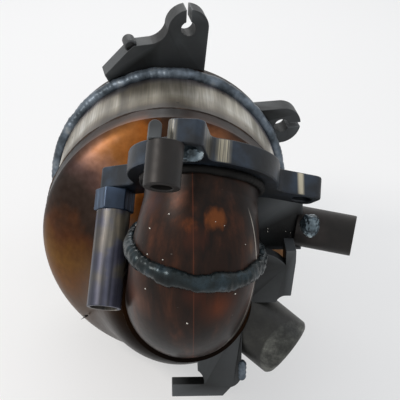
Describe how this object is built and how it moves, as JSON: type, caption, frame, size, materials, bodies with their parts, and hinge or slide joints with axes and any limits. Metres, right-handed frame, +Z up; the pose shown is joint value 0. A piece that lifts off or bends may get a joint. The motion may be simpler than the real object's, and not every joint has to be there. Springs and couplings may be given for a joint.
{
  "type": "catalytic converter",
  "caption": "Close-coupled catalytic converter: round can, eccentric drawn inlet cone, welded elbow with a lobed flange, slotted brackets, tubes and a clamp ring outlet.",
  "frame": {"origin": "centre of the outlet ring's seating face, on the can's axis", "axes": "+Y along the can's axis and out of the outlet, -Y towards the inlet elbow, +Z up through the slotted top bracket, +X towards the side sleeve"},
  "size_m": [0.1643, 0.2748, 0.176],
  "materials": {
    "can_sheet": "satin",
    "outlet_sheet": "satin",
    "outlet_turned": "satin",
    "cone_sheet": "satin",
    "elbow_sheet": "satin",
    "flange_plate": "satin",
    "bracket_plate": "satin",
    "tube_stock": "satin",
    "boss_turned": "satin",
    "weld_bead": "gloss",
    "brick_ceramic": "matt",
    "mat_fibre": "matt"
  },
  "bodies": {
    "root": {"can_tube": "can_sheet", "outlet_shell": "outlet_sheet", "outlet_ring": "outlet_turned", "inlet_cone": "cone_sheet", "elbow_bowl": "elbow_sheet", "elbow_upper": "elbow_sheet", "inlet_flange": "flange_plate", "top_claw": "bracket_plate", "side_claw": "bracket_plate", "step_bracket": "bracket_plate", "foot_bracket": "bracket_plate", "saddle": "bracket_plate", "stop_pin": "bracket_plate", "locating_tab": "bracket_plate", "guide_tube": "tube_stock", "guide_spacer": "tube_stock", "spacer_sleeve": "tube_stock", "side_sleeve": "tube_stock", "sensor_boss": "boss_turned", "boss_cap": "boss_turned", "can_weld": "weld_bead", "outlet_weld": "weld_bead", "elbow_seam_weld": "weld_bead", "mouth_weld": "weld_bead", "sleeve_weld": "weld_bead", "side_weld": "weld_bead", "step_weld": "weld_bead", "foot_weld": "weld_bead", "honeycomb_brick": "brick_ceramic", "swelling_mat": "mat_fibre", "front_seal_ring": "mat_fibre", "rear_seal_ring": "mat_fibre"}
  },
  "joints": []
}
